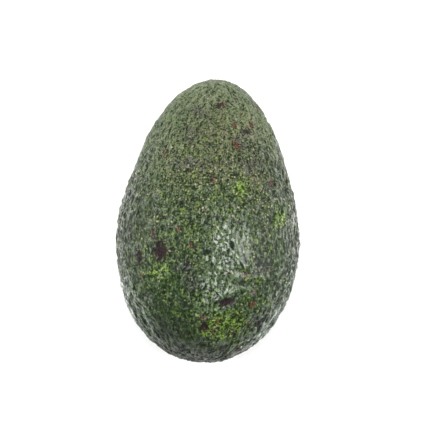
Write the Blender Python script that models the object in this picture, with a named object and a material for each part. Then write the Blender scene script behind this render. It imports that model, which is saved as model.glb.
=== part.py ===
"""A whole avocado lying on its side: the pebble-skinned fruit, and the woody button of its stem.

Metres, +Z up. The fruit lies along Y with its narrow stem end towards +Y. The origin is the centre
of the small flat spot that the fruit rests on.
"""

import math

import bmesh
import bpy
import numpy as np
from mathutils import Matrix, Vector

# The fruit's size and the shape of its outline, along its own axis
HALF_LENGTH = 0.0531
GIRTH_RADIUS = 0.0322
HEIGHT_SHARE = 0.965
TAPER = -0.204
SHOULDER = 0.087
SIDE_BEND = -0.0009

# How it lies: tipped by the angle that puts its weight over the flat spot, and pressed flat there
NOSE_DOWN = math.radians(6.3)
FLAT_DEPTH = 0.0005
KEEL_POINTS = 4001

# The pebbles of the skin: how many, how unevenly they lie, and how far they stand out and sink between
PEBBLES = 1900
PEBBLE_SEED = 7
PEBBLE_SCATTER = 0.035
PEBBLE_SPREAD_ROUNDS = 3
PEBBLE_TOP = 0.00032
PEBBLE_TOP_RANGE = 0.45
PEBBLE_VALLEY = 0.00034
GOLDEN_ANGLE = math.pi * (3 - math.sqrt(5))
PROFILE_POINTS = 2001

# Broad swells and hollows of the flesh: the direction to each one's middle, then its rise and its reach
SWELLS = (
    ((0.15, 0.97, 0.20), 0.00035, 0.20),
    ((0.68, 0.75, 0.10), 0.00025, 0.17),
    ((0.90, 0.47, 0.10), -0.00025, 0.18),
    ((0.98, -0.15, 0.10), 0.00040, 0.20),
    ((0.68, -0.72, 0.10), -0.00030, 0.14),
    ((-0.50, 0.86, 0.10), 0.00040, 0.16),
    ((-0.93, 0.32, 0.10), -0.00050, 0.20),
    ((-0.97, -0.06, 0.10), 0.00050, 0.24),
    ((-0.88, -0.46, 0.10), -0.00045, 0.18),
    ((0.20, -0.30, 0.93), 0.00070, 0.30),
    ((0.55, 0.05, 0.80), -0.00050, 0.28),
    ((-0.35, 0.25, -0.90), 0.00050, 0.35),
    ((0.60, -0.50, -0.60), -0.00050, 0.35),
)

# The stem end: a hollow in the flesh, a turned socket in it, and the button that the socket holds
STEM_OFF_AXIS = math.radians(12.0)
STEM_HOLLOW_DEPTH = 0.0014
STEM_HOLLOW_REACH = 0.17
BUTTON_RADIUS = 0.0037
BUTTON_HEIGHT = 0.0034
BUTTON_PROUD = 0.0012
BUTTON_SIDES = 36
SOCKET_GAP = 0.0003

# The button's outline as shares of its radius and height: the foot and flank that the socket follows, then
# the rounded rim, the dished top and the stub of the core
BUTTON_FLANK = ((0.62, 0.00), (0.78, 0.12), (1.00, 0.55))
BUTTON_HEAD = ((1.00, 0.80), (0.92, 0.95), (0.76, 1.00), (0.55, 0.90), (0.36, 0.86), (0.22, 0.97), (0, 1))

# How far the button's sides are worn in, in waves round it: waves, share of the radius, and where each starts
BUTTON_WEAR = 0.025
BUTTON_WAVES = ((3, 0.015, 0.6), (5, 0.010, 2.1))

# The blossom end, where the flower was
BLOSSOM_PIT_DEPTH = 0.0006
BLOSSOM_PIT_REACH = 0.11

SKIN_GREEN = (0.075, 0.125, 0.040, 1.0)
SKIN_ROUGHNESS = 0.45
STEM_BROWN = (0.230, 0.135, 0.070, 1.0)
STEM_ROUGHNESS = 0.8


def unit(vectors):
    """The same vectors, each one metre long."""
    return vectors / np.linalg.norm(vectors, axis=-1, keepdims=True)


def stem_direction():
    """Where the stem leaves the fruit, in the fruit's own frame: a little under the end of its axis."""
    return np.array([0.0, math.cos(STEM_OFF_AXIS), -math.sin(STEM_OFF_AXIS)])


def ring_radius(along):
    """Radius of the fruit at cosine along, which is 1 at the stem end and -1 at the blossom end."""
    return GIRTH_RADIUS * np.sqrt(1 - along**2) * (1 + TAPER * along + SHOULDER * along**3)


def bump(directions, centre, reach):
    """A smooth round hump, 1 at the centre and fading over the reach, in radians on the unit sphere."""
    away = np.linalg.norm(directions - unit(np.array(centre)), axis=1)
    return np.exp(-((away / reach) ** 2))


def smooth_form(directions):
    """Points of the smooth fruit for unit directions, in its own frame, with Y along it to the stem."""
    side, along, up = directions.T
    fullness = GIRTH_RADIUS * (1 + TAPER * along + SHOULDER * along**3)
    bend = SIDE_BEND * (1 - along**2) * along
    points = np.stack([fullness * side + bend, HALF_LENGTH * along, fullness * HEIGHT_SHARE * up], axis=1)
    outward = unit(points)
    for centre, rise, reach in SWELLS:
        points += outward * (rise * bump(directions, centre, reach))[:, None]
    points -= outward * (STEM_HOLLOW_DEPTH * bump(directions, stem_direction(), STEM_HOLLOW_REACH))[:, None]
    points -= outward * (BLOSSOM_PIT_DEPTH * bump(directions, (0, -1, 0), BLOSSOM_PIT_REACH))[:, None]
    return points


def thrown_over_skin(random):
    """Unit directions even over the real skin: on a spiral from end to end, then thrown off it."""
    along = np.linspace(1, -1, PROFILE_POINTS)
    radius = ring_radius(along)
    strip = np.hypot(np.diff(radius), np.diff(HALF_LENGTH * along)) * (radius[1:] + radius[:-1])
    covered = np.concatenate([[0], np.cumsum(strip)]) / strip.sum()
    turn = np.arange(PEBBLES)
    height = np.interp((turn + 0.5) / PEBBLES, covered, along)
    ring = np.sqrt(1 - height**2)
    angle = GOLDEN_ANGLE * turn
    spiral = np.stack([ring * np.cos(angle), height, ring * np.sin(angle)], axis=1)
    return unit(spiral + random.normal(0, PEBBLE_SCATTER, spiral.shape))


def hull_of(directions):
    """A bmesh of triangles that joins neighbouring directions over the whole unit sphere."""
    shape = bmesh.new()
    points = [shape.verts.new(direction) for direction in directions]
    bmesh.ops.convex_hull(shape, input=points)
    return shape


def pebble_directions(random):
    """Unit directions of the pebbles, each one moved towards the middle of its neighbours."""
    directions = thrown_over_skin(random)
    for _ in range(PEBBLE_SPREAD_ROUNDS):
        shape = hull_of(directions)
        groups = [[v.co] + [edge.other_vert(v).co for edge in v.link_edges] for v in shape.verts]
        directions = unit(np.array([np.mean(group, axis=0) for group in groups]))
        shape.free()
    return directions


def resting_place():
    """The matrix that lays the fruit on its side, with the middle of its flat spot at the origin."""
    tilt = Matrix.Rotation(-NOSE_DOWN, 4, "X")
    turn = np.linspace(-math.pi, 0, KEEL_POINTS)
    keel = np.stack([np.zeros_like(turn), np.cos(turn), np.sin(turn)], axis=1)
    lowest = min((tilt @ Vector(point) for point in smooth_form(keel)), key=lambda point: point.z)
    return Matrix.Translation((-lowest.x, -lowest.y, -lowest.z - FLAT_DEPTH)) @ tilt


def new_material(name, colour, roughness):
    """A plain opaque material of that colour."""
    material = bpy.data.materials.new(name)
    material.use_nodes = True
    shader = material.node_tree.nodes["Principled BSDF"]
    shader.inputs["Base Color"].default_value = colour
    shader.inputs["Roughness"].default_value = roughness
    shader.inputs["Metallic"].default_value = 0.0
    material.diffuse_color = colour
    return material


def face_outward(shape):
    """Turns every face of a closed bmesh outward, where they all point in."""
    if shape.calc_volume(signed=True) < 0:
        bmesh.ops.reverse_faces(shape, faces=shape.faces[:])
    shape.normal_update()


def new_object(name, shape, material=None):
    """An object in the scene with the mesh of this bmesh, shaded smooth."""
    face_outward(shape)
    mesh = bpy.data.meshes.new(name)
    shape.to_mesh(mesh)
    shape.free()
    mesh.shade_smooth()
    if material:
        mesh.materials.append(material)
    made = bpy.data.objects.new(name, mesh)
    bpy.context.scene.collection.objects.link(made)
    return made


def turned(profile, sides):
    """A closed shape turned about Z from (radius, height) points, the first and last of them on the axis."""
    shape = bmesh.new()
    points = [shape.verts.new((radius, 0, height)) for radius, height in profile]
    edges = [shape.edges.new(pair) for pair in zip(points, points[1:])]
    bmesh.ops.spin(
        shape,
        geom=points + edges,
        axis=(0, 0, 1),
        cent=(0, 0, 0),
        angle=2 * math.pi,
        steps=sides,
        use_merge=True,
    )
    bmesh.ops.remove_doubles(shape, verts=shape.verts[:], dist=1e-6)
    return shape


def build_fruit():
    """The fruit: a pebble round each direction, high in its middle and low where it meets its neighbours."""
    random = np.random.default_rng(PEBBLE_SEED)
    shape = hull_of(pebble_directions(random))
    between_tops = shape.edges[:]
    bmesh.ops.poke(shape, faces=shape.faces[:])
    bmesh.ops.rotate_edges(shape, edges=between_tops)
    shape.verts.index_update()

    directions = unit(np.array([vertex.co for vertex in shape.verts]))
    for vertex, point in zip(shape.verts, smooth_form(directions)):
        vertex.co = point
    face_outward(shape)
    rises = np.full(len(shape.verts), -PEBBLE_VALLEY)
    rises[:PEBBLES] = PEBBLE_TOP * random.uniform(1 - PEBBLE_TOP_RANGE, 1 + PEBBLE_TOP_RANGE, PEBBLES)
    for vertex, rise in zip(shape.verts, rises):
        vertex.co += vertex.normal * rise
    shape.transform(resting_place())
    return new_object("fruit_body", shape, new_material("skin_green", SKIN_GREEN, SKIN_ROUGHNESS))


def stem_place():
    """The matrix that puts the stem's foot at the bottom of its socket, with its Z pointing out."""
    way = stem_direction()
    mouth = Vector(smooth_form(way[None])[0])
    outward = Vector(way).to_track_quat("Z", "Y").to_matrix().to_4x4()
    seat = Matrix.Translation((0, 0, BUTTON_PROUD - BUTTON_HEIGHT))
    return resting_place() @ Matrix.Translation(mouth) @ outward @ seat


def flank_profile(gap):
    """(radius, height) points of the button's foot and flank, each moved out by the gap."""
    flank = [(BUTTON_RADIUS * radius + gap, BUTTON_HEIGHT * height) for radius, height in BUTTON_FLANK]
    return [(0, -gap), (flank[0][0], -gap)] + flank[1:]


def build_button():
    """The button: a foot in the socket and a wider head, a little out of round."""
    head = [(BUTTON_RADIUS * radius, BUTTON_HEIGHT * height) for radius, height in BUTTON_HEAD]
    shape = turned(flank_profile(0) + head, BUTTON_SIDES)
    for vertex in shape.verts:
        turn = math.atan2(vertex.co.y, vertex.co.x)
        waves = (share * math.sin(count * turn + start) for count, share, start in BUTTON_WAVES)
        worn = 1 - BUTTON_WEAR - sum(waves)
        vertex.co.x *= worn
        vertex.co.y *= worn
    shape.transform(stem_place())
    return new_object("stem_button", shape, new_material("stem_wood", STEM_BROWN, STEM_ROUGHNESS))


def build_cutters():
    """The shape of the socket, and a block whose top is the surface that the fruit lies on."""
    mouth = [(BUTTON_RADIUS + SOCKET_GAP, BUTTON_HEIGHT * 2), (0, BUTTON_HEIGHT * 2)]
    socket = turned(flank_profile(SOCKET_GAP) + mouth, BUTTON_SIDES)
    socket.transform(stem_place())
    floor = bmesh.new()
    bmesh.ops.create_cube(floor, size=HALF_LENGTH)
    floor.transform(Matrix.Translation((0, 0, -HALF_LENGTH / 2)))
    cutters = [new_object("socket_cutter", socket), new_object("floor_cutter", floor)]
    for cutter in cutters:
        cutter.hide_render = True
        cutter.display_type = "WIRE"
    return cutters


for old in list(bpy.data.objects):
    bpy.data.objects.remove(old)
fruit = build_fruit()
build_button()
for cutter in build_cutters():
    cut = fruit.modifiers.new(cutter.name, "BOOLEAN")
    cut.operation = "DIFFERENCE"
    cut.object = cutter
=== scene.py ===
import math

import bpy
import numpy as np
from mathutils import Matrix, Vector, noise


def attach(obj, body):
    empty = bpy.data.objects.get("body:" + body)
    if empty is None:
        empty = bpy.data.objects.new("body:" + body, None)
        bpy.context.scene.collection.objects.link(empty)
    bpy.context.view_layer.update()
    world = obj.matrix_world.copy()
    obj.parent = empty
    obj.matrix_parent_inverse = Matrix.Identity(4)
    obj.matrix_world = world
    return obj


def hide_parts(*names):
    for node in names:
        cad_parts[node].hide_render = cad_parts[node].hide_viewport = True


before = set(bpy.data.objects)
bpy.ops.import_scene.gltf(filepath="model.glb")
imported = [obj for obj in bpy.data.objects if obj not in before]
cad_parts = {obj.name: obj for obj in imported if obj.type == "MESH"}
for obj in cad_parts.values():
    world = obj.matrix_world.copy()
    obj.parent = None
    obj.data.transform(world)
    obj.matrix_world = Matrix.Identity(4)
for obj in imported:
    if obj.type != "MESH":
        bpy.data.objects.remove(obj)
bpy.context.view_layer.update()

# The view. The fruit lies on its side, and the camera looks almost straight down on it from far off, a little
# from the blossom end, so that the narrow end is at the top of the picture and its stem is out of sight.
PICTURE_SIDE = 421
PIXELS_PER_METRE = 2737
CAMERA_DISTANCE = 0.75
CAMERA_ELEVATION = math.radians(80)
CAMERA_TURN = math.radians(-3.6)
SENSOR_WIDTH = 36.0
FRUIT_MIDDLE = Vector((0, 0.0027, 0.031))
FRUIT_MIDDLE_PIXEL = (208.7, 220.8)

heading = Vector((math.sin(CAMERA_TURN), math.cos(CAMERA_TURN), 0))
view_right = Vector((math.cos(CAMERA_TURN), -math.sin(CAMERA_TURN), 0))
view_forward = heading * math.cos(CAMERA_ELEVATION) - Vector((0, 0, math.sin(CAMERA_ELEVATION)))
view_up = view_right.cross(view_forward)


def picture_offset(x, y):
    """The step in metres, across the view, from the middle of the fruit to that pixel of the picture."""
    right = (x - FRUIT_MIDDLE_PIXEL[0]) / PIXELS_PER_METRE
    up = (FRUIT_MIDDLE_PIXEL[1] - y) / PIXELS_PER_METRE
    return view_right * right + view_up * up


picture_middle = FRUIT_MIDDLE + picture_offset(PICTURE_SIDE / 2, PICTURE_SIDE / 2)
camera = bpy.data.objects.new("camera", bpy.data.cameras.new("camera"))
camera.data.sensor_width = SENSOR_WIDTH
camera.data.lens = SENSOR_WIDTH * CAMERA_DISTANCE * PIXELS_PER_METRE / PICTURE_SIDE
camera.data.clip_start = 0.01
camera.data.clip_end = 10
turned = Matrix((view_right, view_up, -view_forward)).transposed().to_4x4()
camera.matrix_world = Matrix.Translation(picture_middle - view_forward * CAMERA_DISTANCE) @ turned
bpy.context.scene.collection.objects.link(camera)
bpy.context.scene.camera = camera

# The skin: one tough green hide, grown over the whole fruit and drawn up into thousands of low pebbles that
# meet in narrow furrows. The solid has one peak for each pebble, and here each peak becomes a rounded, uneven
# pebble, on triangles a sixteenth of the size. Lengths are in metres.
WAVE_SEED = 7
SPLIT_ROUNDS = 2
WELD_DISTANCE = 2e-6
# The share of its height in the solid that each peak keeps, more or less by luck, and how full its dome is
LEAST_RISE = 0.05
RISE_RANGE = 0.40
RISE_CELL = 0.0004
LEAST_PEAK = 0.01
DOME_FULLNESS = 2.2
# Each pattern's length, and how far it moves the skin: sideways in the warps, and outwards in the others
WARPS = ((0.0060, 0.00070), (0.0028, 0.00035))
LUMPS = ((0.0110, 0.00020), (0.0034, 0.00006))
RIDGES = ((0.0023, 0.00028), (0.0014, 0.00024))
SMALL_PEBBLES = ((0.0018, 0.00026), (0.0012, 0.00020))
WORN_PEBBLES = (0.0032, 0.00036)
FOLD_WANDER = (0.0040, 0.0011)
# Where in the noise each pattern starts, so that no two are alike
WARP_WAVES = 1
LUMP_WAVES = 11
RIDGE_WAVES = 21
PEBBLE_WAVES = 31
WORN_WAVES = 41
FOLD_WAVES = 51
# How steep and how full the small pebbles are, and how wide the line along the top of each ridge is
PEBBLE_SLOPE = 0.5
PEBBLE_FULLNESS = 0.7
RIDGE_LINE = 0.12
# The heights above the table where the flanks start and are full, and the same for the shoulder, as places
# along the fruit. The relief is deeper on the flanks, and shallower on the shoulder and where the skin is worn.
FLANK_TOP = 0.054
FLANK_LOW = 0.040
FLANK_RELIEF = 0.5
SHOULDER_START = 0.000
SHOULDER_END = 0.048
SHOULDER_SMOOTHING = 0.25
WORN_SHARE = 0.55
WORN_EDGE = 2
# The last smoothing, and the height above the skin round it at which a point stands out in full
SOFTENING_ROUNDS = 1
SOFTENING = 0.40
LEVELLING_ROUNDS = 8
STANDING_RANGE = 0.00030
# The skin as it grew: shorter lengthwise than it is, and narrower round the ends
GROWTH_STRETCH = 0.55
GROWTH_RADIUS = 0.020
GROWTH_SPREAD = 0.40
# How much of its place on the square each patch of the skin fills
PATCH_FILL = 0.93


def welded_mesh(node):
    """The (points, triangles) of a solid, with the points that lie together made one."""
    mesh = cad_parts[node].data
    mesh.calc_loop_triangles()
    points = np.array([vertex.co for vertex in mesh.vertices])
    faces = np.array([triangle.vertices for triangle in mesh.loop_triangles])
    cells = np.round(points / WELD_DISTANCE).astype(np.int64)
    _, first, index = np.unique(cells, axis=0, return_index=True, return_inverse=True)
    faces = index.reshape(-1)[faces]
    whole = (faces != np.roll(faces, 1, axis=1)).all(axis=1)
    return points[first], faces[whole]


def edges_of(faces):
    """Each edge once, and the three edges of each triangle as indices of them."""
    pairs = np.sort(np.concatenate([faces[:, [0, 1]], faces[:, [1, 2]], faces[:, [2, 0]]]), axis=1)
    edges, index = np.unique(pairs, axis=0, return_inverse=True)
    return edges, index.reshape(3, -1).T


def split_in_four(faces, *fields):
    """Each triangle as four, with every field of values at the points carried to the new points."""
    edges, sides = edges_of(faces)
    new = sides + len(fields[0])
    corners = [np.stack([faces[:, k], new[:, k], new[:, k - 1]], axis=1) for k in range(3)]
    split = [np.concatenate([field, field[edges].mean(axis=1)]) for field in fields]
    return np.concatenate(corners + [new]), *split


def normals_of(points, faces):
    """The outward direction of the surface at each point."""
    a, b, c = (points[faces[:, k]] for k in range(3))
    across = np.cross(b - a, c - a)
    total = np.zeros_like(points)
    for k in range(3):
        np.add.at(total, faces[:, k], across)
    return total / np.linalg.norm(total, axis=1, keepdims=True)


def neighbour_mean(values, faces):
    """The mean of the values at the points that each point shares an edge with."""
    edges, _ = edges_of(faces)
    total = np.zeros_like(values)
    count = np.zeros(len(values))
    for near, far in (edges.T, edges.T[::-1]):
        np.add.at(total, near, values[far])
        np.add.at(count, near, 1)
    return total / (count[:, None] if values.ndim == 2 else count)


def waves(points, length, start):
    """Smooth noise at each point, three values from about -1 to 1, with waves of that length."""
    shift = Vector((start, 2 * start, 3 * start))
    return np.array([noise.noise_vector(Vector(point) / length + shift) for point in points])


def growth_place(points):
    """Each point's place on the skin as it grew: narrower round the ends, and shorter lengthwise than it is."""
    across = points[:, [0, 2]] - [FRUIT_MIDDLE.x, FRUIT_MIDDLE.z]
    radius = np.linalg.norm(across, axis=1, keepdims=True)
    ring = across / radius * (GROWTH_RADIUS + GROWTH_SPREAD * radius)
    return np.stack([ring[:, 0], points[:, 1] * GROWTH_STRETCH, ring[:, 1]], axis=1)


# Marks on the skin that the picture shows, by kind: pixel, half length and half width in pixels, and the turn
# of the length away from upright, clockwise, in degrees
MARKS = {
    "scar": (
        (163, 249, 10, 8, 0), (142, 256, 7, 3, 0), (227, 298, 10, 3.6, 78), (204.5, 322, 4.5, 4, 0),
        (189, 171, 3, 3, 0), (257, 322, 3.5, 2.5, 40),
        (189, 260, 3, 2, 30), (246, 133, 5, 3, -40), (219, 107, 4, 3, 60),
    ),
    "rust": (
        (223, 106, 3, 2, 0), (251, 126, 3, 2, 0), (236, 147, 5, 2.5, -40), (234, 127, 3, 2, 0),
        (166, 155, 2, 2, 0), (213, 182, 4, 1.6, 20), (270, 182, 3, 2, 0), (155, 233, 3, 1.6, 0),
        (180, 228, 3, 2, 0), (192, 243, 3, 1.6, 0), (144, 273, 2, 2, 0), (251, 301, 3.5, 2, 50),
        (203, 313, 3.5, 1.8, 80), (247, 320, 2, 1.6, 0), (244, 273, 2, 2, 0), (217, 317, 3, 1.4, 0),
        (253, 289, 2.5, 1.5, 40), (229, 270, 3, 1.2, 70), (161, 252, 4, 2, 60), (234, 327, 1.5, 1.5, 0),
        (239, 345, 1.5, 1.5, 0), (212, 327, 2, 1.5, 0),
    ),
    # Plum-grey patches: the skin's own purple-grey, and beside the polished patch a painted sheen
    "plum": (
        (260, 266, 12, 14, 0), (194, 281, 14, 12, 0), (187, 264, 12, 9, 0), (257, 312, 8, 12, 0),
        (150, 297, 8, 7, 0), (200, 112, 10, 14, 0), (190, 135, 10, 10, 0), (250, 165, 10, 16, 0),
        (188, 165, 10, 16, 0), (270, 190, 10, 10, 0), (227, 299, 5, 12, 0), (240, 145, 12, 8, -30),
    ),
    "pale": (
        (239, 190, 11, 8, 0), (280, 215, 14, 8, 0), (225, 324, 20, 26, 0), (161, 268, 8, 11, 0),
    ),
    # Painted shade: areas darkened as though less light fell on them
    "shade": (
        (165, 308, 34, 38, 0), (190, 274, 26, 22, 0), (262, 266, 34, 18, 0), (262, 320, 16, 16, 0),
        (146, 228, 40, 24, 0), (262, 222, 26, 16, 0),
    ),
    # Painted haze: paler patches on the upper side, standing in for reflected light
    "painted_haze": (
        (250, 122, 46, 30, -20), (208, 90, 22, 46, 0), (168, 150, 30, 20, 20),
    ),
    "olive": (
        (212, 135, 32, 34, 0), (245, 135, 22, 20, 0), (210, 165, 20, 40, 0), (255, 175, 26, 14, 0),
    ),
    # Painted shade: near-black in the hollows
    "shaded_hollow": (
        (231, 243, 5, 3.2, -20), (227.5, 249, 4, 1.8, 0), (240.5, 262.5, 7, 1.7, -28), (207, 250, 6, 2.6, 95),
        (240, 280, 3, 3, 0), (225, 297, 9, 2.5, 75), (160, 243, 3, 3, 0), (235, 176, 5, 1.6, 80),
        (262, 317, 4, 1.8, 40), (212, 262, 3, 2, 0),
    ),
    # A painted sheen, over skin with thicker wax
    "satin_and_sheen": (
        (222, 214, 44, 36, -10), (188, 262, 14, 8, 0),
    ),
    # Polished skin, smoother and with thicker wax, and a painted sheen over it
    "polished_and_sheen": (
        (222, 262, 44, 30, 0), (236, 240, 20, 16, 0), (228, 280, 22, 18, 0),
    ),
}

# Hollows that the picture shows, as a mark each and its depth in metres
HOLLOWS = (
    ((230.5, 244.5, 6, 3.4, -20), 0.00080), ((207.0, 250, 5.5, 3.0, 90), 0.00060),
    ((227, 297, 11, 4.5, 80), 0.00050), ((222, 280, 6, 2.2, 70), 0.00040), ((163, 249, 8, 6.0, 0), 0.00035),
    ((142, 256, 7, 3.0, 0), 0.00030), ((204.5, 322, 4, 4.0, 0), 0.00045), ((200, 350, 14, 24, 0), 0.00035),
    ((257, 323, 5, 3, 50), 0.00040),
)

# Folds that the picture shows: height in metres, half width in pixels, and the pixels that each runs through
FOLDS = (
    (0.00050, 1.9, ((226, 241), (228, 245), (230, 250), (233, 254), (238, 258), (242, 264), (243.5, 269))),
    (0.00030, 1.8, ((213, 262), (214, 269), (217, 273))),
    (0.00035, 1.8, ((219, 259), (223, 257), (227, 259.5))),
    (0.00045, 2.0, ((210, 275), (214, 283), (219, 290), (224, 294))),
    (0.00030, 1.8, ((215, 227), (219, 228), (223, 233))),
    (0.00030, 1.8, ((208, 243), (212, 246), (217, 243))),
    (0.00040, 1.9, ((239, 283), (243, 285), (245, 290))),
    (0.00035, 3.0, ((226, 285), (230, 289), (236, 287))),
    (0.00030, 1.8, ((215, 305), (222, 309), (226, 311))),
    (0.00040, 1.6, ((130, 268), (133, 277), (137, 292), (146, 300), (153, 307), (155, 313))),
    (0.00040, 1.6, (
        (124, 280), (130, 290), (136, 296), (146, 307), (150, 313), (152, 320), (155, 332), (162, 335),
    )),
    (0.00045, 1.9, ((127, 296), (134, 309), (138, 319), (142, 326), (146, 333), (153, 342), (159, 351))),
    (0.00045, 1.8, ((232, 339), (241, 337), (249, 333), (258, 328), (266, 322), (272, 312), (277, 303))),
    (0.00045, 1.8, ((238, 344), (248, 340), (257, 335), (265, 328), (272, 320))),
    (0.00035, 1.8, ((257, 331), (261, 325), (262, 319), (258, 314))),
    (0.00035, 1.8, ((230, 350), (242, 346), (250, 342))),
)


def mark_depth(points, outward, mark):
    """How deep each point lies in one mark: 1 in its middle, 0 at its edge, less outside or on the far side."""
    x, y, half_length, half_width, turn = mark
    offsets = points - np.array(FRUIT_MIDDLE + picture_offset(x, y))
    right, up = (offsets @ np.array(axis) * PIXELS_PER_METRE for axis in (view_right, view_up))
    sine, cosine = math.sin(math.radians(turn)), math.cos(math.radians(turn))
    depth = 1 - np.hypot((up * cosine + right * sine) / half_length, (right * cosine - up * sine) / half_width)
    return np.where(outward @ np.array(view_forward) < 0, np.maximum(depth, -1), -1.0)


def deepest(points, outward, marks):
    """How deep each point lies in the nearest of several marks."""
    return np.max([mark_depth(points, outward, mark) for mark in marks], axis=0)


def fold_depth(points, outward, half_width, path):
    """How near each point lies to the middle of one fold: 1 there, and 0 at its edges or on the far side."""
    offsets = points - np.array(FRUIT_MIDDLE)
    seen = np.stack([offsets @ np.array(axis) for axis in (view_right, view_up)], axis=1)
    bends = [picture_offset(x, y) for x, y in path]
    bends = np.array([(bend.dot(view_right), bend.dot(view_up)) for bend in bends])
    nearest = np.full(len(points), np.inf)
    for start, end in zip(bends, bends[1:]):
        share = np.clip((seen - start) @ (end - start) / ((end - start) @ (end - start)), 0, 1)
        nearest = np.minimum(nearest, np.linalg.norm(seen - start - np.outer(share, end - start), axis=1))
    depth = np.clip(1 - nearest * PIXELS_PER_METRE / half_width, 0, 1)
    return np.where(outward @ np.array(view_forward) < 0, depth, 0)


def small_pebbles(points, width, start):
    """Small pebbles of that width: heights from -0.5 on their edges to 0.5 in their middles."""
    places = growth_place(points) / width + start
    near, next_near = np.array([noise.voronoi(Vector(place))[0][:2] for place in places]).T
    return np.clip((next_near - near) / PEBBLE_SLOPE, 0, 1) ** PEBBLE_FULLNESS - 0.5


noise.seed_set(WAVE_SEED)
points, faces = welded_mesh("fruit_body")
outward = normals_of(points, faces)
standing_out = ((points - neighbour_mean(points, faces)) * outward).sum(axis=1)
peak = (standing_out > 0).astype(float)
luck = np.array([noise.cell(Vector(point) / RISE_CELL) for point in points])
rise = peak * standing_out * (LEAST_RISE + RISE_RANGE * luck)
points += outward * (rise - peak * standing_out)[:, None]
for _ in range(SPLIT_ROUNDS):
    faces, points, peak, rise = split_in_four(faces, points, peak, rise)
outward = normals_of(points, faces)
dome = 1 - (1 - peak) ** DOME_FULLNESS
points += outward * (rise * (dome / np.maximum(peak, LEAST_PEAK) - 1) * (peak > 0))[:, None]
for start, (length, reach) in enumerate(WARPS, WARP_WAVES):
    push = waves(points, length, start) * reach
    points += push - outward * (push * outward).sum(axis=1)[:, None]
for start, (length, height) in enumerate(LUMPS, LUMP_WAVES):
    points += outward * (waves(points, length, start)[:, :1] * height)

raised = np.zeros((len(points), 1))
ridge = np.zeros(len(points))
for start, (length, height) in enumerate(RIDGES, RIDGE_WAVES):
    wave = np.abs(waves(growth_place(points), length, start)[:, :1])
    raised += (1 - 2 * wave) * height
    ridge = np.maximum(ridge, 1 - wave[:, 0] / RIDGE_LINE)
for start, (width, height) in enumerate(SMALL_PEBBLES, PEBBLE_WAVES):
    raised += small_pebbles(points, width, start)[:, None] * height
worn = np.clip(deepest(points, outward, MARKS["polished_and_sheen"]) * WORN_EDGE, 0, 1)[:, None]
on_flank = np.clip((FLANK_TOP - points[:, 2:]) / (FLANK_TOP - FLANK_LOW), 0, 1)
on_shoulder = np.clip((points[:, 1:2] - SHOULDER_START) / (SHOULDER_END - SHOULDER_START), 0, 1)
raised *= (1 - worn * WORN_SHARE) * (1 + on_flank * FLANK_RELIEF) * (1 - on_shoulder * SHOULDER_SMOOTHING)
raised += small_pebbles(points, WORN_PEBBLES[0], WORN_WAVES)[:, None] * WORN_PEBBLES[1] * worn
for mark, depth in HOLLOWS:
    raised -= np.clip(mark_depth(points, outward, mark), 0, 1)[:, None] * depth
wandered = points + waves(points, FOLD_WANDER[0], FOLD_WAVES) * FOLD_WANDER[1]
in_fold = np.zeros(len(points))
for height, half_width, path in FOLDS:
    depth = fold_depth(wandered, outward, half_width, path)
    raised += depth[:, None] * height
    in_fold = np.maximum(in_fold, depth)
points += outward * raised
for _ in range(SOFTENING_ROUNDS):
    points += (neighbour_mean(points, faces) - points) * SOFTENING
points[:, 2] = np.maximum(points[:, 2], 0)
outward = normals_of(points, faces)
level = points
for _ in range(LEVELLING_ROUNDS):
    level = neighbour_mean(level, faces)
stands_out = ((points - level) * outward).sum(axis=1) / STANDING_RANGE


def new_piece(name, points, faces, fields):
    """A smooth-shaded object with that mesh, and its fields of values as named attributes."""
    mesh = bpy.data.meshes.new(name)
    mesh.from_pydata(points.tolist(), [], faces.tolist())
    mesh.shade_smooth()
    for field, values in fields.items():
        kind, key = ("FLOAT", "value") if values.ndim == 1 else ("FLOAT_VECTOR", "vector")
        mesh.attributes.new(field, kind, "POINT").data.foreach_set(key, values.astype(np.float32).ravel())
    piece = bpy.data.objects.new(name, mesh)
    bpy.context.scene.collection.objects.link(piece)
    return piece


def six_patches(points, faces):
    """Places on a square for the corners of each triangle: a patch for each side of a box round the fruit."""
    offsets = (points - np.array(FRUIT_MIDDLE)) / np.ptp(points, axis=0)
    corners = offsets[faces]
    middles = corners.mean(axis=1)
    rows = np.arange(len(faces))
    facing = np.abs(middles).argmax(axis=1)
    column = np.array([0, 2, 1])[facing]
    row = (middles[rows, facing] > 0).astype(int)
    places = []
    for share, start, axes in ((3, column, (2, 0, 0)), (2, row, (1, 2, 1))):
        axis = np.array(axes)[facing]
        slope = corners[rows, :, axis] / np.abs(corners[rows, :, facing])
        places.append((start[:, None] + 0.5 + np.arctan(slope) * PATCH_FILL * 2 / math.pi) / share)
    return np.stack(places, axis=2)


fields = {
    "standing": np.clip(stands_out, -1, 1) * 0.5 + 0.5, "growth": growth_place(points),
    "fold": in_fold, "ridge": ridge,
}
for kind, marks in MARKS.items():
    fields[kind] = deepest(points, outward, marks)
skin = new_piece("fruit_skin", points, faces, fields)
skin.data.uv_layers.new(name="OFBake").data.foreach_set("uv", six_patches(points, faces).ravel())


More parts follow.
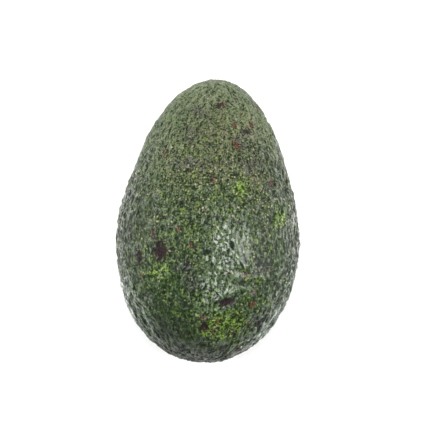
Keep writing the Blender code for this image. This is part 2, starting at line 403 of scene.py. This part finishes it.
class Recipe:
    """A material that is being mixed from nodes."""

    def __init__(self, name):
        self.material = bpy.data.materials.new(name)
        self.material.use_nodes = True
        self.tree = self.material.node_tree
        self.surface = self.tree.nodes["Principled BSDF"]

    def node(self, kind, settings, sockets, output=0):
        """One output of a new node, after its settings and the values or links of its sockets."""
        made = self.tree.nodes.new(kind)
        for name, value in settings.items():
            setattr(made, name, value)
        for name, value in sockets.items():
            self.plug(value, made.inputs[name])
        return Amount(self, made.outputs[output])

    def plug(self, value, socket):
        """Feeds a socket with a number, a colour or another node's output."""
        if isinstance(value, Amount):
            self.tree.links.new(value.socket, socket)
        elif isinstance(value, tuple) and len(value) == 3 and socket.type == "RGBA":
            socket.default_value = (*value, 1)
        else:
            socket.default_value = value

    def mix(self, share, low, high):
        """The colour low where share is 0, and high where it is 1: the node's inputs 6 and 7, and output 2."""
        sockets = {0: share, 6: low, 7: high}
        return self.node("ShaderNodeMix", {"data_type": "RGBA"}, sockets, output=2)

    def field(self, name):
        """The mesh's own values of that name."""
        return self.node("ShaderNodeAttribute", {"attribute_name": name}, {}, output="Fac")

    def noise(self, place, scale, detail=2, roughness=0.6):
        """Smooth noise from 0 to 1, with that many waves to the metre."""
        sockets = {"Vector": place, "Scale": scale, "Detail": detail, "Roughness": roughness}
        return self.node("ShaderNodeTexNoise", {}, sockets)

    def vector(self, operation, first, second):
        """Vector maths on two vectors, or on a vector and a tuple."""
        return self.node("ShaderNodeVectorMath", {"operation": operation}, {0: first, 1: second})

    def crumpled(self, place, scale, reach):
        """The place, pushed about by noise, so that a pattern laid out on it comes out uneven."""
        push = self.vector("SUBTRACT", self.noise(place, scale, 1, 0.5).other("Color"), (0.5, 0.5, 0.5))
        return self.vector("ADD", place, self.vector("MULTIPLY", push, (reach, reach, reach)))

    def cells(self, place, scale):
        """The distance to the nearest of scattered points, in spacings, and two numbers of that point's own."""
        spots = self.node("ShaderNodeTexVoronoi", {"feature": "F1"}, {"Vector": place, "Scale": scale})
        luck = self.node("ShaderNodeSeparateColor", {}, {"Color": spots.other("Color")})
        return spots, luck, luck.other("Green")


class Amount:
    """A node's output, for writing shader maths as plain expressions."""

    def __init__(self, recipe, socket):
        self.recipe = recipe
        self.socket = socket

    def other(self, output):
        """Another output of the same node."""
        return Amount(self.recipe, self.socket.node.outputs[output])

    def math(self, operation, first, second):
        return self.recipe.node("ShaderNodeMath", {"operation": operation}, {0: first, 1: second})

    def __add__(self, other):
        return self.math("ADD", self, other)

    def __sub__(self, other):
        return self.math("SUBTRACT", self, other)

    def __mul__(self, other):
        return self.math("MULTIPLY", self, other)

    __radd__ = __add__

    def __rsub__(self, other):
        return self.math("SUBTRACT", other, self)

    def step(self, low, high):
        """0 below low, 1 above high, and smooth between, or the other way round where low is above high."""
        sockets = {"Value": self, "From Min": low, "From Max": high}
        return self.recipe.node("ShaderNodeMapRange", {"interpolation_type": "SMOOTHSTEP"}, sockets)


# The skin's colours
GROUND_DARK = (0.004, 0.010, 0.003)
LEAF_GREEN = (0.044, 0.100, 0.006)
MOSS_GREEN = (0.112, 0.146, 0.056)
TEAL_GREEN = (0.040, 0.086, 0.042)
OLIVE = (0.122, 0.114, 0.058)
# Pale wax, and the painted highlight on the crests
WAX_AND_SHEEN_GREY = (0.240, 0.380, 0.250)
WAX_AND_SHEEN_OLIVE = (0.300, 0.320, 0.200)
# Painted sheen
PAINTED_SHEEN_SILVER = (0.074, 0.110, 0.058)
PLUM_GREY = (0.066, 0.056, 0.072)
FRESH_GREEN = (0.150, 0.270, 0.008)
FLECK_GREEN = (0.220, 0.340, 0.030)
DOT_YELLOW = (0.440, 0.500, 0.180)
DOT_TAN = (0.460, 0.390, 0.230)
RUST_RED = (0.040, 0.010, 0.010)
RUST_ORANGE = (0.150, 0.050, 0.026)
SCAR_BROWN = (0.008, 0.004, 0.005)
# How fine its patterns are, in waves or cells to the metre
BROAD_SCALE = 60
PATCH_SCALE = 350
MOTTLE_SCALE = 600
GRAIN_SCALE = 1400
COARSE_SCALE = 1100
SPECK_SCALE = 2200
FLECK_SCALE = 800
STREAK_SCALE = 1100
TINT_SCALE = 900
DOT_SCALE = 950
PIT_SCALE = 800
STAIN_SCALE = 90
# How each pattern of spots is crumpled: the waves to the metre that push it about, and how far
DOT_CRUMPLING = (2000, 0.0009)
PIT_CRUMPLING = (900, 0.0009)
STAIN_CRUMPLING = (500, 0.004)
# Stretches of the fruit's length: how far each one's edge wanders, where it starts and where it is full
STEMWARD = (0.08, -0.035, 0.020)
SHOULDER = (0.05, SHOULDER_START, SHOULDER_END)
BLOSSOM_END = (0.02, -0.034, -0.046)
# The height above the table where the upper side starts
UPPER_SIDE = 0.030
# Where each pattern starts to show, and where it shows in full
RIDGE_EDGE = (0.1, 0.6)
FOLD_EDGE = (0.3, 0.9)
LINE_BREAKS = (0.30, 0.50)
TINT_EDGE = (0.46, 0.60)
TONE_EDGE = (0.46, 0.58)
FLECK_EDGE = (0.58, 0.68)
FLECK_BREAKS = (0.40, 0.55)
FLECK_AREAS = (0.35, 0.6)
FURROW_EDGE = (0.55, 0.25)
CREST_EDGE = (0.60, 0.90)
DOT_EDGE = (0.46, 0.24)
TAN_DOTS = (0.62, 0.74)
PIT_EDGE = (0.34, 0.20)
STAIN_EDGE = (0.40, 0.28)
STAIN_BREAKS = (0.4, 0.5)
BROWN_STAINS = (0.70, 0.72)
RED_STAINS = (0.40, 0.38)
ORANGE_RUST = (0.45, 0.60)
RED_IN_SCARS = (0.54, 0.62)
ROUGH_AREAS = (0.3, 0.7)
# The edge of each kind of mark: how much a pattern breaks it up, and the depths where it starts and is full
MARK_EDGES = {
    "olive": (1.5, -0.5, 0.9),
    "shade": (1.5, -0.2, 0.8),
    "painted_haze": (1.5, -0.2, 0.8),
    "pale": (1.5, -0.1, 0.5),
    "plum": (2.5, -0.1, 0.8),
    "polished_and_sheen": (1.5, 0.0, 0.5),
    "satin_and_sheen": (1.5, 0.0, 0.8),
    "rust": (3.5, -0.2, 0.4),
    "shaded_hollow": (1.5, -0.1, 0.4),
    "scar": (2.5, -0.1, 0.3),
}
# The most that each finish covers of what lies under it, the painted shade, haze and sheen among them
OLIVE_COVER = 0.8
SHADE_COVER = 0.40
BLOSSOM_SHADE_COVER = 0.45
PAINTED_HAZE_COVER = 0.20
PALE_COVER = 0.9
PLUM_COVER = 0.85
POLISHED_SHEEN_COVER = 0.55
SATIN_SHEEN_COVER = 0.35
FLECK_COVER = 0.9
PIT_COVER = 0.8
RUST_COVER = 0.9
HOLLOW_SHADE_COVER = 0.95
SCAR_COVER = 0.95
# How the skin shines: a dull hide under thin, smooth wax
SKIN_SPECULAR = 0.08
SKIN_ROUGHNESS = 0.34
WAX_ROUGHNESS = 0.12
RELIEF_HEIGHT = 0.00075

hide = Recipe("avocado_skin")
place = hide.node("ShaderNodeTexCoord", {}, {}, output="Object")
growth = hide.node("ShaderNodeAttribute", {"attribute_name": "growth"}, {}, output="Vector")
split = hide.node("ShaderNodeSeparateXYZ", {}, {"Vector": place})
along = split.other("Y")
broad = hide.noise(place, BROAD_SCALE, 3)
patch = hide.noise(place, PATCH_SCALE)
mottle = hide.noise(place, MOTTLE_SCALE)
speck = hide.noise(growth, SPECK_SCALE, 1)
streak = hide.noise(growth, STREAK_SCALE)
blotch = hide.noise(growth, FLECK_SCALE, 1)
tint = hide.noise(place, TINT_SCALE, 1)


def stretch(wander, start, full):
    """A stretch of the fruit's length with an uneven edge: 0 outside it and 1 well inside."""
    return (along + (broad - 0.5) * wander).step(start, full)


def marked(kind, pattern):
    """The marks of that kind, with their edges broken up by a pattern: 0 outside them and 1 well inside."""
    break_up, start, full = MARK_EDGES[kind]
    return (hide.field(kind) + (pattern - 0.5) * break_up).step(start, full)


stemward = stretch(*STEMWARD)
shoulder = stretch(*SHOULDER)
blossom_end = stretch(*BLOSSOM_END)
flank = split.other("Z").step(FLANK_TOP, FLANK_LOW) * (1 - shoulder * 0.8)
upper_side = split.other("Z").step(UPPER_SIDE, FLANK_LOW)

# The grain is fine near the stem, coarser near the blossom end, and drawn out lengthwise on the flanks.
grain = hide.noise(place, GRAIN_SCALE, 2, 0.7) * stemward + hide.noise(place, COARSE_SCALE) * (1 - stemward)
grain = grain * (1 - flank) + hide.noise(growth, COARSE_SCALE) * flank
standing = hide.field("standing")
lines = hide.field("ridge").step(*RIDGE_EDGE) * grain.step(*LINE_BREAKS)
fold = hide.field("fold").step(*FOLD_EDGE) * mottle.step(*LINE_BREAKS)
polished_and_sheen = marked("polished_and_sheen", mottle)
satin_and_sheen = marked("satin_and_sheen", mottle)
shade = marked("shade", patch)
plum = marked("plum", patch)
shaded_hollow = marked("shaded_hollow", grain)
scar = marked("scar", mottle)

# The lighter of the skin's two tones, from area to area, with painted shade, painted reflection and painted
# sheen in it where noted
# More olive and lighter towards the stem, greener and darker towards the blossom end: the skin's own colour,
# with painted shade darkening the lower end
light = hide.mix(stemward, LEAF_GREEN, MOSS_GREEN)
light = hide.mix(marked("olive", patch) * OLIVE_COVER, light, OLIVE)
# On the flanks the teal here and the paler green below are a painted reflection of the light along the rims
light = hide.mix(tint.step(*TINT_EDGE) * (0.35 + stemward * 0.25) + flank * 0.1, light, TEAL_GREEN)
light = hide.mix(flank * (1 - stemward) * (1 - blossom_end) * 0.4, light, MOSS_GREEN)
# Painted shade: darker towards the blossom end and in the shade marks
light = hide.mix(blossom_end * BLOSSOM_SHADE_COVER + shade * SHADE_COVER, light, GROUND_DARK)
# Painted haze of reflected light on the upper side
light = hide.mix(marked("painted_haze", patch) * PAINTED_HAZE_COVER, light, WAX_AND_SHEEN_OLIVE)
light = hide.mix(marked("pale", patch) * PALE_COVER, light, FRESH_GREEN)
# Plum-grey: partly the skin's own colour, partly a painted sheen beside the polished patch
light = hide.mix(plum * (PLUM_COVER - stemward * 0.40), light, PLUM_GREY)
# Painted sheen where the skin is polished and satin
light = hide.mix(polished_and_sheen * POLISHED_SHEEN_COVER, light, PAINTED_SHEEN_SILVER)
light = hide.mix(satin_and_sheen * SATIN_SHEEN_COVER, light, PAINTED_SHEEN_SILVER)

# The darker tone shows through in specks, and in the furrows between the pebbles as painted shade, deepest on
# the flanks. Bright flecks lie over both.
tone = grain * 0.55 + speck * (0.28 - flank * 0.20) + mottle * 0.05 + standing * (0.09 + flank * 0.12)
# The lighter tone where polished is painted sheen
tone = tone + stemward * 0.01 + shoulder * 0.04 + polished_and_sheen * 0.03
colour = hide.mix(tone.step(*TONE_EDGE), GROUND_DARK, light)
fleck = blotch.step(*FLECK_EDGE) * grain.step(*FLECK_BREAKS) * (broad.step(*FLECK_AREAS) * 0.7 + 0.3)
fleck = fleck * (1 - stemward * 0.6) * (1 - flank * 0.5) * (1 - polished_and_sheen * 0.7)
fleck = fleck * (1 - blossom_end * 0.9) * (1 - shade * 0.4) * (1 - plum * 0.5)
colour = hide.mix(fleck * FLECK_COVER, colour, FLECK_GREEN)
# Painted shade in the furrows, much deeper on the flanks, and a little over the whole flank
furrow_shade = standing.step(*FURROW_EDGE) * (0.06 + flank * 0.34) + flank * 0.04
colour = hide.mix(furrow_shade * (1 - shoulder * 0.4), colour, GROUND_DARK)

# Pale wax on the tops of the pebbles, along the ridges and on the folds, with a painted highlight as well,
# strongest on the flanks
crest_wax_and_sheen = standing.step(*CREST_EDGE) * 0.04 + lines * (0.03 + flank * 0.13) + fold * (0.10 + flank * 0.15)
crest_wax_and_sheen_colour = hide.mix(stemward + blossom_end * 0.8, WAX_AND_SHEEN_GREY, WAX_AND_SHEEN_OLIVE)
colour = hide.mix(crest_wax_and_sheen * (1 - blossom_end * 0.2), colour, crest_wax_and_sheen_colour)

# Pale dots all over, yellow or tan, and small dark pits
dot_far, dot_luck, dot_tint = hide.cells(hide.crumpled(place, *DOT_CRUMPLING), DOT_SCALE)
dot = (dot_far + dot_luck * 0.50).step(*DOT_EDGE) * (1 - blossom_end * 0.8) * (1 - flank * 0.4)
dot_colour = hide.mix((dot_tint * 0.8 + stemward * 0.2).step(*TAN_DOTS), DOT_YELLOW, DOT_TAN)
dot_cover = (0.35 + dot_tint * 0.65) * (1 - polished_and_sheen * 0.7) * (1 - shoulder * 0.6) * (0.5 + stemward * 0.5)
colour = hide.mix(dot * dot_cover, colour, dot_colour)
pit_far, pit_luck, _ = hide.cells(hide.crumpled(place, *PIT_CRUMPLING), PIT_SCALE)
pit = (pit_far + pit_luck * 0.3).step(*PIT_EDGE)
colour = hide.mix(pit * PIT_COVER, colour, GROUND_DARK)

# Rust spots, stains on the lower half of the sides and underneath, painted shade in the hollows, and scars
rust_colour = hide.mix(speck.step(*ORANGE_RUST), RUST_RED, RUST_ORANGE)
colour = hide.mix(marked("rust", grain) * RUST_COVER, colour, rust_colour)
stain_far, stain_luck, stain_size = hide.cells(hide.crumpled(place, *STAIN_CRUMPLING), STAIN_SCALE)
stain = (stain_far + stain_size * 0.3 + (mottle - 0.5) * 0.4).step(*STAIN_EDGE) * (1 - upper_side)
colour = hide.mix(stain * stain_luck.step(*BROWN_STAINS), colour, SCAR_BROWN)
colour = hide.mix(stain * stain_luck.step(*RED_STAINS) * grain.step(*STAIN_BREAKS), colour, RUST_RED)
colour = hide.mix(shaded_hollow * HOLLOW_SHADE_COVER, colour, GROUND_DARK)
scar_colour = hide.mix(speck.step(*RED_IN_SCARS) * 0.6, SCAR_BROWN, RUST_RED)
colour = hide.mix(scar * SCAR_COVER, colour, scar_colour)

# The finest relief, and the wax, which is thickest on the ridges, on the folds and where the skin is polished
relief = grain * 0.8 + speck * 0.3 + dot * 0.15 - pit * 0.2 + lines * flank * 0.4
relief = (relief * (1 - polished_and_sheen * 0.2) + mottle * 0.4 + streak * 0.6) * (1 - shoulder * 0.4)
bumps = hide.node("ShaderNodeBump", {}, {"Strength": 1.0, "Distance": RELIEF_HEIGHT, "Height": relief})
wax = 0.06 + flank * 0.10 + lines * (0.25 + flank * 0.80) + fold * (0.4 + flank * 0.6)
wax = wax + satin_and_sheen * 0.16 + polished_and_sheen * 0.50
wax = wax * (1 - shaded_hollow * HOLLOW_SHADE_COVER) * (1 - scar * 0.8) * (1 - shoulder * 0.4) * (1 - blossom_end * 0.6)
roughness = patch.step(*ROUGH_AREAS) * 0.12 + SKIN_ROUGHNESS - polished_and_sheen * 0.12
hide.plug(colour, hide.surface.inputs["Base Color"])
hide.plug(roughness, hide.surface.inputs["Roughness"])
hide.plug(bumps, hide.surface.inputs["Normal"])
hide.plug(wax, hide.surface.inputs["Coat Weight"])
hide.surface.inputs["Specular IOR Level"].default_value = SKIN_SPECULAR
hide.surface.inputs["Coat Roughness"].default_value = WAX_ROUGHNESS
skin.data.materials.append(hide.material)
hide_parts("fruit_body")
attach(skin, "root")

# The stem end: the woody end of the fruit's own stem, left in its socket when the fruit is clipped from the
# tree, dry, brown and corky, with the broken wood of the stalk in the middle of its top.
# Each lump's length and height, and the length and angle that the cracks outside the wood wander by
CORK_LUMPS = ((0.0022, 0.00013), (0.0009, 0.00008))
CORK_WAVES = 41
CRACKS = 13
CRACK_DEPTH = 0.00022
CRACK_WANDER = (0.0015, 4)
CRACK_WAVES = 5
CRACK_SHARPNESS = 4
WOOD_REACH = 0.0019
WOOD_EDGE = 0.7
WOOD_RAGGEDNESS = 0.002
CRUMB_SCALE = 1800
FIBRE_SCALE = 5000
CRUMBLE_HEIGHT = 0.0003
CORK_ROUGHNESS = 0.85
BARK_BROWN = (0.150, 0.085, 0.045)
BARK_DARK = (0.040, 0.024, 0.015)
WOOD_TAN = (0.330, 0.230, 0.130)

points, faces = welded_mesh("stem_button")
for _ in range(SPLIT_ROUNDS):
    faces, points = split_in_four(faces, points)
outward = normals_of(points, faces)
offsets = points - points.mean(axis=0)
_, directions = np.linalg.eigh(offsets.T @ offsets)
stem_axis = directions[:, 0] * np.sign(directions[1, 0])
from_axis = offsets - np.outer(offsets @ stem_axis, stem_axis)
turn = np.arctan2(from_axis @ np.cross(stem_axis, view_right), from_axis @ np.array(view_right))
wander = waves(points, CRACK_WANDER[0], CRACK_WAVES)[:, 0] * CRACK_WANDER[1]
crack = np.clip(np.cos(turn * CRACKS + wander), 0, 1) ** CRACK_SHARPNESS
reach = np.linalg.norm(from_axis, axis=1)
crack *= np.clip(reach / WOOD_REACH - WOOD_EDGE, 0, 1)
for start, (length, height) in enumerate(CORK_LUMPS, CORK_WAVES):
    points += outward * (waves(points, length, start)[:, :1] * height)
points -= outward * (crack[:, None] * CRACK_DEPTH)
stem_end = new_piece("stem_end", points, faces, {"reach": reach, "crack": crack})

cork = Recipe("stem_cork")
place = cork.node("ShaderNodeTexCoord", {}, {}, output="Object")
crumbs = cork.noise(place, CRUMB_SCALE, 4, 0.7)
fibres = cork.noise(place, FIBRE_SCALE)
bark = cork.mix(crumbs.step(0.35, 0.65), BARK_DARK, BARK_BROWN)
bark = cork.mix(cork.field("crack") * 0.8, bark, BARK_DARK)
ragged_reach = cork.field("reach") + (crumbs - 0.5) * WOOD_RAGGEDNESS
wood = ragged_reach.step(WOOD_REACH, WOOD_REACH * WOOD_EDGE)
bark = cork.mix(wood * (fibres * 0.8 + 0.2), bark, WOOD_TAN)
height = crumbs + fibres * 0.4
crumble = cork.node("ShaderNodeBump", {}, {"Strength": 1.0, "Distance": CRUMBLE_HEIGHT, "Height": height})
cork.plug(bark, cork.surface.inputs["Base Color"])
cork.plug(crumble, cork.surface.inputs["Normal"])
cork.surface.inputs["Roughness"].default_value = CORK_ROUGHNESS
stem_end.data.materials.append(cork.material)
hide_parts("stem_button")
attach(stem_end, "root")

# The setting: a plain white table under wide soft lamps, and lamps that only show as a sheen on the skin.
FLOOR_SIDE = 6.0
FLOOR_CORNERS = ((-0.5, -0.5, 0), (0.5, -0.5, 0), (0.5, 0.5, 0), (-0.5, 0.5, 0))
FLOOR_WHITE = (0.98, 0.98, 0.98)
FLOOR_ROUGHNESS = 0.9
WORLD_STRENGTH = 0.15
floor_points = np.array(FLOOR_CORNERS) * FLOOR_SIDE
floor = new_piece("floor", floor_points, np.array([(0, 1, 2), (0, 2, 3)]), {})
paint = Recipe("white_table")
paint.plug(FLOOR_WHITE, paint.surface.inputs["Base Color"])
paint.surface.inputs["Roughness"].default_value = FLOOR_ROUGHNESS
floor.data.materials.append(paint.material)

# Each lamp's place and side in metres, its watts, and whether it only shows as a reflection or only gives light
LAMPS = (
    ("overhead", (0.0, 0.0, 1.6), 2.2, 46, False),
    ("left_fill", (-1.2, 0.3, 0.8), 0.5, 9, False),
    ("right_fill", (1.2, 0.3, 0.8), 0.5, 9, False),
    ("far_fill", (0.0, 1.4, 1.0), 0.8, 9, False),
    ("left_glint", (-1.0, 0.1, 0.4), 1.0, 21, True),
    ("right_glint", (1.0, 0.1, 0.4), 1.0, 26, True),
    ("near_glint", (0.1, -1.0, 0.4), 0.4, 4, True),
    ("far_glint", (0.0, 1.1, 0.8), 0.4, 6, True),
    ("sheen_lamp", (0.32, 0.10, 1.05), 0.45, 9, True),
    ("low_sheen_lamp", (0.25, -0.62, 0.85), 0.45, 8, True),
)
for name, position, side, watts, reflected in LAMPS:
    lamp = bpy.data.objects.new(name, bpy.data.lights.new(name, "AREA"))
    lamp.data.size = side
    lamp.data.energy = watts
    lamp.location = position
    lamp.rotation_euler = (Vector(position) - FRUIT_MIDDLE).to_track_quat("Z", "Y").to_euler()
    lamp.visible_glossy = reflected
    lamp.visible_diffuse = not reflected
    bpy.context.scene.collection.objects.link(lamp)

world = bpy.data.worlds.new("studio")
world.use_nodes = True
world.node_tree.nodes["Background"].inputs["Color"].default_value = (1, 1, 1, 1)
world.node_tree.nodes["Background"].inputs["Strength"].default_value = WORLD_STRENGTH
bpy.context.scene.world = world
bpy.context.scene.view_settings.view_transform = "Standard"
